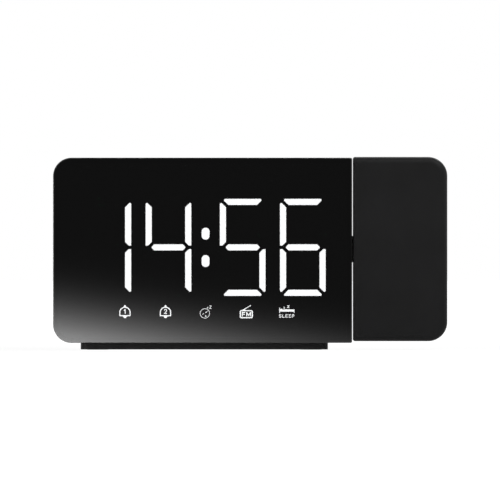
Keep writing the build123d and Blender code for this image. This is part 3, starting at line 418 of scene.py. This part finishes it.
lensGlass = {
    "dusty": (0.96, 0.98, 1.0, 1),
    "clear": (0.985, 0.992, 1.0, 1),
    "bloom": (0.72, 0.68, 1.0, 1),  # violet of the coating
    "bloomWeight": 0.5,
    "dustRoughness": 0.05,
}


def opticalGlass(name):
    made = Finish(name)
    dust = made.noise(1200, 4.0, 0.7)
    return made.surface({
        "Base Color": made.blend(dust, lensGlass["dusty"], lensGlass["clear"]),
        "Roughness": made.fit(dust, 0.0, lensGlass["dustRoughness"], 0.55, 0.8),
        "IOR": 1.52,
        "Transmission Weight": 1.0,
        "Coat Weight": lensGlass["bloomWeight"],
        "Coat Tint": lensGlass["bloom"],
    })


finishes = {
    "smoked_panel": smokedPanel("smokedPanel"),
    "black_film": printedFilm("printedFilm"),
    "milky_guide": litGuide("litGuide"),
    "dark_guide": unlitGuide("unlitGuide"),
    "board_green": circuitBoard("circuitBoard"),
    "optical_glass": opticalGlass("opticalGlass"),
}
for slotName, values in blackPlastic.items():
    finishes[slotName] = mouldedPlastic(slotName + "Plastic", *values)
for slotName, values in metals.items():
    finishes[slotName] = platedMetal(slotName + "Metal", *values)
for slotName, values in dullStuff.items():
    finishes[slotName] = dullSolid(slotName + "Solid", *values)
for slotName, values in prints.items():
    finishes[slotName] = printed(slotName + "Print", *values)

for part in frame["record"]["subparts"]:
    for materialSlot in frame["nodes"][part["node"]].material_slots:
        materialSlot.material = finishes[part["material_slot"]]


# flat drawings: closed outlines in millimetres, each added to or cut from what comes before
def arc(x, z, radiusX, radiusZ, start, end, steps):
    angles = [math.radians(start + (end - start) * i / steps) for i in range(steps + 1)]
    return [(x + radiusX * math.cos(a), z + radiusZ * math.sin(a)) for a in angles]


def disc(x, z, radius, radiusZ=None):
    return arc(x, z, radius, radiusZ or radius, 0, 360, 40)[:-1]


def roundedBox(x0, x1, z0, z1, radius):
    corners = ((x1 - radius, z1 - radius, 0), (x0 + radius, z1 - radius, 90),
               (x0 + radius, z0 + radius, 180), (x1 - radius, z0 + radius, 270))
    points = []
    for x, z, start in corners:
        points += arc(x, z, radius, radius, start, start + 90, 6)
    return points


def wedge(x0, z0, width0, x1, z1, width1, steps=6):  # a tapering stroke with round ends
    turn = math.degrees(math.atan2(z1 - z0, x1 - x0))
    end = arc(x1, z1, width1 / 2, width1 / 2, turn - 90, turn + 90, steps)
    return end + arc(x0, z0, width0 / 2, width0 / 2, turn + 90, turn + 270, steps)


def line(x0, z0, x1, z1, width):
    return wedge(x0, z0, width, x1, z1, width, 8)


def strokes(points, width):  # from each point to the next
    return [(True, line(*first, *second, width)) for first, second in zip(points, points[1:])]


def moved(shapes, x=0.0, scale=1.0):
    return [(adds, [(x + scale * px, scale * pz) for px, pz in points]) for adds, points in shapes]


def area(points):  # of a closed outline, below nought where it runs clockwise
    return sum(a[0] * b[1] - b[0] * a[1] for a, b in zip(points, points[1:] + points[:1])) / 2


def flatMesh(name, shapes, depth):  # union of the outlines as a closed solid, its front at -Y
    points, faces = [], []
    for adds, outline in shapes:
        faces.append(list(range(len(points), len(points) + len(outline))))
        points += [Vector(point) for point in (outline if area(outline) > 0 else outline[::-1])]
    spots, _, cells, _, _, allOwners = delaunay_2d_cdt(points, [], faces, 1, 1e-5)
    kept = [cell for cell, owners in zip(cells, allOwners) if owners and shapes[max(owners)][0]]
    used = sorted({i for cell in kept for i in cell})
    order = {old: new for new, old in enumerate(used)}
    count = len(used)
    front = [(spots[i].x * mm, -depth * mm, spots[i].y * mm) for i in used]
    back = [(x, 0.0, z) for x, y, z in front]
    solid, rims = [], {}  # each edge is a rim if no cell has it the other way round
    for cell in kept:
        corners = [order[i] for i in cell]
        if area([spots[i] for i in cell]) < 0:
            corners.reverse()
        solid += [corners, [i + count for i in reversed(corners)]]
        for a, b in zip(corners, corners[1:] + corners[:1]):
            rims[(a, b)] = (b, a) not in rims
            if (b, a) in rims:
                rims[(b, a)] = False
    solid += [[b, a, a + count, b + count] for (a, b), single in rims.items() if single]
    mesh = bpy.data.meshes.new(name)
    mesh.from_pydata(front + back, [], solid)
    mesh.update()
    return mesh


def lieFlat(mesh):  # turns a drawing that faces -Y so that it faces up
    for vertex in mesh.vertices:
        x, y, z = vertex.co
        vertex.co = (x, z, -y)


def faceBack(mesh):  # turns a drawing that faces -Y so that it faces +Y
    for vertex in mesh.vertices:
        x, y, z = vertex.co
        vertex.co = (-x, -y, z)


def addPiece(name, mesh, place, body, slotName):
    for vertex in mesh.vertices:
        vertex.co += Vector(place)
    mesh.materials.append(finishes[slotName])
    piece = bpy.data.objects.new(name, mesh)
    bpy.context.scene.collection.objects.link(piece)
    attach(piece, body)


penLines = {  # middle lines of the strokes in a box one wide and one high
    "1": [[(0.05, 0.72), (0.6, 1), (0.6, 0)]],
    "2": [[(0, 0.8), (0.22, 1), (0.78, 1), (1, 0.82), (1, 0.62), (0, 0), (1, 0)]],
    "E": [[(1, 1), (0, 1), (0, 0), (1, 0)], [(0, 0.5), (0.85, 0.5)]],
    "F": [[(1, 1), (0, 1), (0, 0)], [(0, 0.48), (0.85, 0.48)]],
    "L": [[(0, 1), (0, 0), (1, 0)]],
    "M": [[(0, 0), (0, 1), (0.5, 0.15), (1, 1), (1, 0)]],
    "P": [[(0, 0), (0, 1), (0.75, 1), (1, 0.86), (1, 0.6), (0.75, 0.46), (0, 0.46)]],
    "S": [[(1, 0.86), (0.8, 1), (0.2, 1), (0, 0.86), (0, 0.64), (0.2, 0.5),
           (0.8, 0.5), (1, 0.36), (1, 0.14), (0.8, 0), (0.2, 0), (0, 0.14)]],
    "Z": [[(0, 1), (1, 1), (0, 0), (1, 0)]],
}


def penned(sign, x0, x1, z0, z1, width):  # a sign that fills the box it is given
    half = width / 2
    shapes = []
    for way in penLines[sign]:
        points = [(x0 + half + (x1 - x0 - width) * x, z0 + half + (z1 - z0 - width) * z) for x, z in way]
        shapes += strokes(points, width)
    return shapes


def ring(x, z, radius, width):
    return [(True, disc(x, z, radius)), (False, disc(x, z, radius - width))]


bell = {
    "half": 2.66,
    "middle": -0.14,            # where the dome springs
    "rise": 2.62,
    "foot": -2.0,
    "corner": 0.3,
    "wall": 0.48,
    "sole": 0.52,
    "knob": 0.33,               # half its width
    "figureHalf": {"1": 0.62, "2": 0.7},
    "figurePen": 0.36,
}


def bellShapes(figure):
    half, middle, foot = bell["half"], bell["middle"], bell["foot"]
    corner, knob = bell["corner"], bell["knob"]
    inner = half - bell["wall"]
    outside = arc(0, middle, half, bell["rise"], 0, 180, 28)
    outside += arc(-half + corner, foot + corner, corner, corner, 180, 270, 5)
    outside += arc(half - corner, foot + corner, corner, corner, 270, 360, 5)
    inside = arc(0, middle, inner, bell["rise"] - bell["wall"], 0, 180, 28)
    inside += [(-inner, foot + bell["sole"]), (inner, foot + bell["sole"])]
    top = [(-0.8, 2.25), (0.8, 2.25), (knob, 2.9)] + arc(0, 2.92, knob, 0.36, 0, 180, 10) + [(-knob, 2.9)]
    clapper = disc(0, foot + 0.05, 0.85, 0.92)
    shapes = [(True, outside), (True, top), (True, clapper), (False, inside)]
    width = bell["figureHalf"][figure]
    return shapes + penned(figure, -width, width, -0.88, 1.42, bell["figurePen"])


def snoozeShapes():  # a clock face with its hand, two marks and two letters above
    shapes = ring(-0.42, -0.64, 2.33, 0.21)
    shapes += [(True, wedge(-0.1, -0.25, 0.3, 0.9, 0.55, 0.15)), (True, disc(0.1, -0.15, 0.26, 0.22))]
    shapes += [(True, line(-1.5, -1.08, -1.0, -0.78, 0.26))]
    shapes += penned("2", -0.4, 0.34, -2.3, -1.55, 0.16)
    shapes += penned("Z", 0.56, 1.16, 1.62, 2.34, 0.15)
    return shapes + penned("Z", 1.66, 2.7, 1.52, 3.04, 0.23)


def radioShapes():  # a case, the foot of its aerial, the aerial and two letters
    shapes = [(True, roundedBox(-3.07, 3.1, -2.92, 0.88, 0.75))]
    shapes += [(False, roundedBox(-2.5, 2.54, -2.4, 0.4, 0.22))]
    shapes += [(True, [(-2.2, 0.7), (0.15, 0.7), (-0.75, 1.25), (-1.45, 1.3)])]
    shapes += [(True, line(-1.35, 1.1, 1.95, 2.98, 0.34)), (True, disc(1.98, 3.0, 0.25))]
    return shapes + penned("F", -2.08, -0.48, -2.08, 0.06, 0.46) + penned("M", -0.02, 2.2, -2.08, 0.06, 0.43)


bedWord = {
    "letters": "SLEEP",
    "start": -3.67,
    "pitch": 1.53,
    "width": 1.1,
    "low": -2.64,
    "high": -1.04,
    "pen": 0.25,
}


def bedShapes():  # a bed seen from its side, with two letters above and a word below
    frameLine = [
        (-3.54, -0.42), (-3.38, -0.42), (-3.12, 0.2), (3.2, 0.2), (3.48, -0.42), (3.58, -0.42), (3.58, 1.24),
        (-1.5, 1.24), (-1.86, 1.02), (-2.1, 1.46), (-2.6, 1.54), (-3.1, 1.36), (-3.26, 2.0), (-3.52, 2.0),
    ]
    shapes = [(True, frameLine)]
    shapes += penned("Z", -1.56, -0.92, 1.56, 2.42, 0.2) + penned("Z", 0.16, 1.26, 1.94, 3.14, 0.26)
    for i, letter in enumerate(bedWord["letters"]):
        left = bedWord["start"] + bedWord["pitch"] * i
        right = left + bedWord["width"]
        shapes += penned(letter, left, right, bedWord["low"], bedWord["high"], bedWord["pen"])
    return shapes


# lit symbols under the digits, in the slit between the film and the panel
symbols = {
    "depth": 0.05,
    "drop": 0.13,               # below the middle of their light guides
    "bellShift": 0.1,           # to the right
    "guideShape": 8.6 / 6.6,    # a light guide's width over its height
}
symbolDrawings = {
    "symbol_alarm_one": lambda: moved(bellShapes("1"), x=symbols["bellShift"]),
    "symbol_alarm_two": lambda: moved(bellShapes("2"), x=symbols["bellShift"]),
    "symbol_snooze": snoozeShapes,
    "symbol_radio": radioShapes,
    "symbol_sleep": bedShapes,
}


def addSymbols():
    low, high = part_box("icon_guides")
    guideWidth = (high.z - low.z) * symbols["guideShape"]
    pitch = (high.x - low.x - guideWidth) / (len(symbolDrawings) - 1)
    level = (low.z + high.z) / 2 - symbols["drop"] * mm
    for i, (name, drawing) in enumerate(symbolDrawings.items()):
        mesh = flatMesh(name, drawing(), symbols["depth"])
        place = (low.x + guideWidth / 2 + i * pitch, frontOf("display_film"), level)
        addPiece(name, mesh, place, "clock_body", "milky_guide")


addSymbols()
print("stage: symbols")


# printed legends on the keys
legends = {"depth": 0.02, "scale": 0.75, "signPen": 0.7, "signHalf": 1.8}


def setShapes():  # a clock face
    return ring(0, 0, 2.6, 0.5) + strokes([(0, 1.5), (0, 0), (1.1, -0.6)], 0.5)


def projectorShapes():  # a lamp and three rays
    shapes = [(True, roundedBox(-2.9, 0.3, -1.3, 1.3, 0.5))]
    for height in (-1.6, 0.0, 1.6):
        shapes.append((True, line(1.2, height * 0.55, 2.9, height, 0.45)))
    return shapes


def snoozeBarShapes():  # three letters that grow
    shapes = []
    for x, half in ((-2.7, 0.7), (-0.4, 1.05), (2.6, 1.5)):
        shapes += penned("Z", x - half * 0.85, x + half * 0.85, -half, half, 0.5)
    return shapes


def minusShapes():
    half = legends["signHalf"]
    return [(True, line(-half, 0, half, 0, legends["signPen"]))]


def plusShapes():
    half = legends["signHalf"]
    return minusShapes() + [(True, line(0, -half, 0, half, legends["signPen"]))]


keyDrawings = {
    "key_alarm_one": lambda: bellShapes("1"),
    "key_alarm_two": lambda: bellShapes("2"),
    "key_set": setShapes,
    "snooze_bar": snoozeBarShapes,
    "key_minus": minusShapes,
    "key_plus": plusShapes,
    "key_projector": projectorShapes,
}


def addLegends():
    for key, drawing in keyDrawings.items():
        mesh = flatMesh(key + "_legend", moved(drawing(), scale=legends["scale"]), legends["depth"])
        lieFlat(mesh)
        middle = centreOf(key)
        addPiece(key + "_legend", mesh, (middle.x, middle.y, topOf(key)), key, "key_ink")


addLegends()
print("stage: key legends")


# small marks on the case, and the bare label plate at the back
marks = {
    "depth": 0.03,
    "lockRadius": 15.6,         # from the battery cover's middle
    "openTurn": 45,             # degrees from the closed padlock to the open one
    "lockPen": 0.34,
    "openLift": 0.55,           # of the open padlock's loop
    "pointer": [(-0.9, 9.9), (0.9, 9.9), (0.0, 11.5)],
    "polarityRise": 4.0,        # above the power inlet
    "polarityReach": 3.8,       # from its middle to the plus and to the minus
    "polarityPen": 0.28,
    "focusRadius": 14.4,        # from the lens's middle
    "focusSweep": 34,           # degrees each way
    "focusPen": 0.4,
    "focusHeadTurn": 7.5,       # degrees that an arrow head takes
    "focusHeadHalf": 0.85,
}
label = {
    "width": 45.4,
    "height": 13.4,
    "corner": 0.8,
    "thickness": 0.15,
    "shift": 1.5,               # from the back's middle
    "rise": 20.2,
    "recess": 0.3,
}


def padlockShapes(opened):  # an open one's loop stands higher, and one of its legs ends in the air
    lift = marks["openLift"] if opened else 0.0
    loop = arc(0, 0.55 + lift, 0.72, 0.72, 0, 180, 12)
    legs = [(loop[0][0], 0.1 + lift * 1.6), *loop, (loop[-1][0], 0.1)]
    return [(True, roundedBox(-1.15, 1.15, -1.45, 0.25, 0.25))] + strokes(legs, marks["lockPen"])


def polarityShapes():  # centre pin positive
    reach, pen = marks["polarityReach"], marks["polarityPen"]
    shapes = strokes(arc(0, 0, 1.3, 1.3, 45, 315, 20), 0.3) + [(True, disc(0, 0, 0.5))]
    for x in (-reach, reach):
        shapes += ring(x, 0, 1.15, pen) + [(True, line(x - 0.5, 0, x + 0.5, 0, pen))]
    shapes += [(True, line(reach, -0.5, reach, 0.5, pen)), (True, line(0, 0, 2.7, 0, pen))]
    return shapes + [(True, line(-2.7, 0, -1.3, 0, pen))]


def onCircle(radius, turn):
    return (radius * math.cos(math.radians(turn)), radius * math.sin(math.radians(turn)))


def focusShapes():  # bent arrow with two heads
    radius, sweep, half = marks["focusRadius"], marks["focusSweep"], marks["focusHeadHalf"]
    shapes = strokes(arc(0, 0, radius, radius, 180 - sweep, 180 + sweep, 24), marks["focusPen"])
    for end, way in ((180 - sweep, -1), (180 + sweep, 1)):
        tip = onCircle(radius, end + marks["focusHeadTurn"] * way)
        shapes.append((True, [tip, onCircle(radius - half, end), onCircle(radius + half, end)]))
    return shapes


def addMark(name, shapes, place, body):  # on a face that looks back
    mesh = flatMesh(name, shapes, marks["depth"])
    faceBack(mesh)
    addPiece(name, mesh, place, body, "case_ink")


def addCoverMarks():
    middle = centreOf("battery_cover")
    reach = marks["lockRadius"] * mm
    for name, opened, angle in (("mark_locked", False, 0), ("mark_open", True, marks["openTurn"])):
        turn = math.radians(angle)
        x, z = middle.x + reach * math.sin(turn), middle.z + reach * math.cos(turn)
        addMark(name, padlockShapes(opened), (x, backOf("rear_housing"), z), "clock_body")
    place = (middle.x, backOf("battery_cover"), middle.z)
    addMark("cover_pointer", [(True, marks["pointer"])], place, "battery_cover")


def addPolarityMark():
    level = topOf("dc_jack") + marks["polarityRise"] * mm
    place = (centreOf("dc_jack").x, backOf("rear_housing"), level)
    addMark("mark_polarity", polarityShapes(), place, "clock_body")


def addFocusMark():
    mesh = flatMesh("mark_focus", focusShapes(), marks["depth"])
    lieFlat(mesh)
    middle = centreOf("focus_ring")
    addPiece("mark_focus", mesh, (middle.x, middle.y, topOf("head_front_shell")), "head", "case_ink")


def addLabel():  # bare, with nothing printed on it
    halfWidth, halfHeight = label["width"] / 2, label["height"] / 2
    outline = roundedBox(-halfWidth, halfWidth, -halfHeight, halfHeight, label["corner"])
    mesh = flatMesh("label_plate", [(True, outline)], label["thickness"])
    faceBack(mesh)
    x = centreOf("rear_housing").x - label["shift"] * mm
    y = backOf("rear_housing") - label["recess"] * mm
    addPiece("label_plate", mesh, (x, y, label["rise"] * mm), "clock_body", "label_foil")


addCoverMarks()
addPolarityMark()
addFocusMark()
addLabel()
print("stage: marks and label")


studio = {
    "ambient": 0.16,            # world level for all but the rays that see the backdrop
    "floorSize": 40.0,
    "floorDrop": 0.02 * mm,     # keeps the pads' undersides clear of it
    "floorTone": 0.55,
    "floorCloud": 0.02,         # share by which that tone varies
    "floorShine": 1.18,
    "floorWhite": 0.78,         # share of the floor that shines by itself, so takes no shadow
    "floorFade": (0.25, 1.2),   # metres from the clock over which that share grows to the whole
}
card = {  # dark card in front of the display, seen only in reflections
    "distance": 0.3,
    "width": 1.8,
    "height": 1.1,
    "level": 0.134,             # glow where that of the corner has faded
    "peak": 6.9,                # glow at the display's lower left corner
    "mostGlow": 1.6,            # as a share of the peak, further out than that corner
    "fallRight": (1.2, 0.48),   # how the glow falls from there, at once and further on
    "fallUp": (7.1, 19.4),
    "fallBoth": 6.5,            # on the slant
}
lamps = {  # place, aim, width and height in metres, power in watts
    "top_softbox": ((0.2, -0.26, 0.33), (0.03, 0, 0.05), 0.34, 0.2, 1.1),
    "left_fill": ((-1.6, -1.4, 1.5), (0, 0, 0.05), 1.4, 1.4, 8.0),
    "back_fill": ((0.7, 2.0, 1.5), (0, 0, 0.05), 1.4, 1.4, 24.0),
}


def raysThatSeeBackdrop(tree):
    camera = tree.node("LightPath", out="Is Camera Ray")
    return camera.atLeast(camera.part("Is Glossy Ray")).atLeast(camera.part("Is Transmission Ray"))


def makeWorld():
    world = bpy.data.worlds.new("studioWorld")
    bpy.context.scene.world = world
    world.use_nodes = True
    tree = Tree(world.node_tree)
    seen = raysThatSeeBackdrop(tree)
    level = studio["ambient"] + seen * (1 - studio["ambient"])
    shader = tree.node("Background", None, {"Color": (1, 1, 1, 1), "Strength": level})
    tree.node("OutputWorld", None, {"Surface": shader})


def stagePlane(name, corners, finish):
    mesh = bpy.data.meshes.new(name)
    mesh.from_pydata(corners, [], [(0, 1, 2, 3)])
    mesh.materials.append(finish)
    plane = bpy.data.objects.new(name, mesh)
    bpy.context.scene.collection.objects.link(plane)
    return plane


def floorFinish():
    made = Finish("paleFloor")
    seen = raysThatSeeBackdrop(made)
    cloud = made.noise(2.0)
    tone = studio["floorTone"]
    colour = made.blend(cloud, grey(tone), grey(tone * (1 + studio["floorCloud"])))
    matt = made.node("BsdfDiffuse", None, {"Color": colour})
    white = made.node("Emission", None, {"Color": (1, 1, 1, 1), "Strength": studio["floorShine"]})
    away = made.node("VectorMath", {"operation": "LENGTH"}, {0: made.place()}, "Value")
    share = made.fit(away, studio["floorWhite"], 1.0, *studio["floorFade"])
    mixed = made.node("MixShader", None, {0: seen * share, 1: matt, 2: white})
    made.node("OutputMaterial", None, {"Surface": mixed})
    return made.material


def cardFinish():
    made = Finish("darkCard")
    place = made.node("SeparateXYZ", None, {0: made.place()}, "X")
    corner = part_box("front_panel")[0]
    right = (place - corner.x) * 10            # decimetres from the corner
    up = (place.part("Z") - corner.z) * 10
    nearRight, farRight = card["fallRight"]
    nearUp, farUp = card["fallUp"]
    fall = (nearRight + farRight * right + card["fallBoth"] * up) * right + (nearUp + farUp * up) * up
    glow = (math.e ** (0.0 - fall)).atMost(card["mostGlow"])
    level = glow * card["peak"] + card["level"]
    colour = made.node("CombineColor", None, {0: level, 1: level, 2: level})
    emission = made.node("Emission", None, {"Color": colour, "Strength": 1.0})
    made.node("OutputMaterial", None, {"Surface": emission})
    return made.material


def makeStage():
    half, level = studio["floorSize"] / 2, -studio["floorDrop"]
    corners = [(-half, -half, level), (half, -half, level), (half, half, level), (-half, half, level)]
    stagePlane("floor", corners, floorFinish())
    y = frontOf("front_panel") - card["distance"]
    x, z = card["width"] / 2, card["height"]
    flag = stagePlane("dark_card", [(-x, y, 0), (x, y, 0), (x, y, z), (-x, y, z)], cardFinish())
    for kind in ("camera", "diffuse", "volume_scatter", "shadow"):
        setattr(flag, "visible_" + kind, False)


def softLamp(name, place, aim, width, height, power):
    data = bpy.data.lights.new(name, "AREA")
    data.shape = "RECTANGLE"
    data.size = width
    data.size_y = height
    data.energy = power
    lamp = bpy.data.objects.new(name, data)
    lamp.location = place
    lamp.rotation_euler = (Vector(aim) - Vector(place)).to_track_quat("-Z", "Y").to_euler()
    lamp.visible_camera = False
    lamp.visible_transmission = False
    bpy.context.scene.collection.objects.link(lamp)


makeWorld()
makeStage()
for lampName, values in lamps.items():
    softLamp(lampName, *values)
bpy.context.scene.view_settings.view_transform = "Standard"
print("stage: studio")
